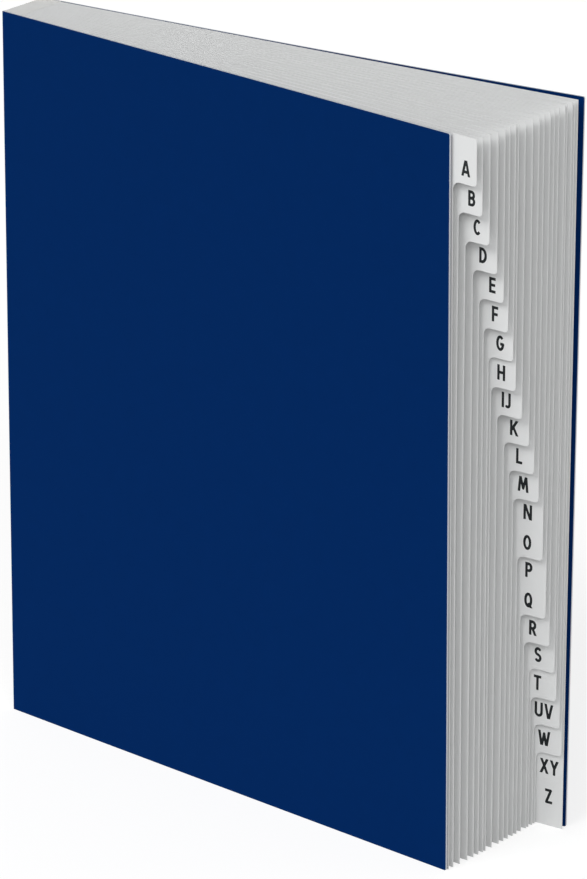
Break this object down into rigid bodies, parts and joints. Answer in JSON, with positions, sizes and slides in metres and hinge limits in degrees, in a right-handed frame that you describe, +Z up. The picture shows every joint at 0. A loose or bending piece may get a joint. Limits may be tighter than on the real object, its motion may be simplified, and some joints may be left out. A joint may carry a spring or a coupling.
{
  "type": "alphabetical desk sorter",
  "caption": "Standing desk sorter: two board covers hinged on an accordion spine, with step-cut index leaves whose tabs form a staircase down the fore-edge.",
  "frame": {"origin": "middle of the base that the sorter stands on, on the z=0 plane", "axes": "+X from the spine to the fore-edge with the tabs, +Y from the front cover to the back cover, +Z up"},
  "size_m": [0.2546, 0.0684, 0.3048],
  "materials": {
    "cover_board": "matte",
    "leaf_card": "matte",
    "gusset_card": "matte"
  },
  "bodies": {
    "root": {"spine_gusset": "gusset_card", "divider_A": "leaf_card", "divider_B": "leaf_card", "divider_C": "leaf_card", "divider_D": "leaf_card", "divider_E": "leaf_card", "divider_F": "leaf_card", "divider_G": "leaf_card", "divider_H": "leaf_card", "divider_IJ": "leaf_card", "divider_K": "leaf_card", "divider_L": "leaf_card", "divider_M": "leaf_card", "divider_NO": "leaf_card", "divider_PQ": "leaf_card", "divider_R": "leaf_card", "divider_S": "leaf_card", "divider_T": "leaf_card", "divider_UV": "leaf_card", "divider_W": "leaf_card", "divider_XYZ": "leaf_card"},
    "front_cover": {"front_cover": "cover_board"},
    "back_cover": {"back_cover": "cover_board"}
  },
  "joints": [
    {"name": "front_cover_hinge", "type": "hinge", "parent": "root", "child": "front_cover", "pos_m": [-0.12722, -0.01264, 0], "axis": [0, 0, -1], "range_deg": [0, 170]},
    {"name": "back_cover_hinge", "type": "hinge", "parent": "root", "child": "back_cover", "pos_m": [-0.12722, 0.01114, 0], "axis": [0, 0, 1], "range_deg": [0, 170]}
  ]
}
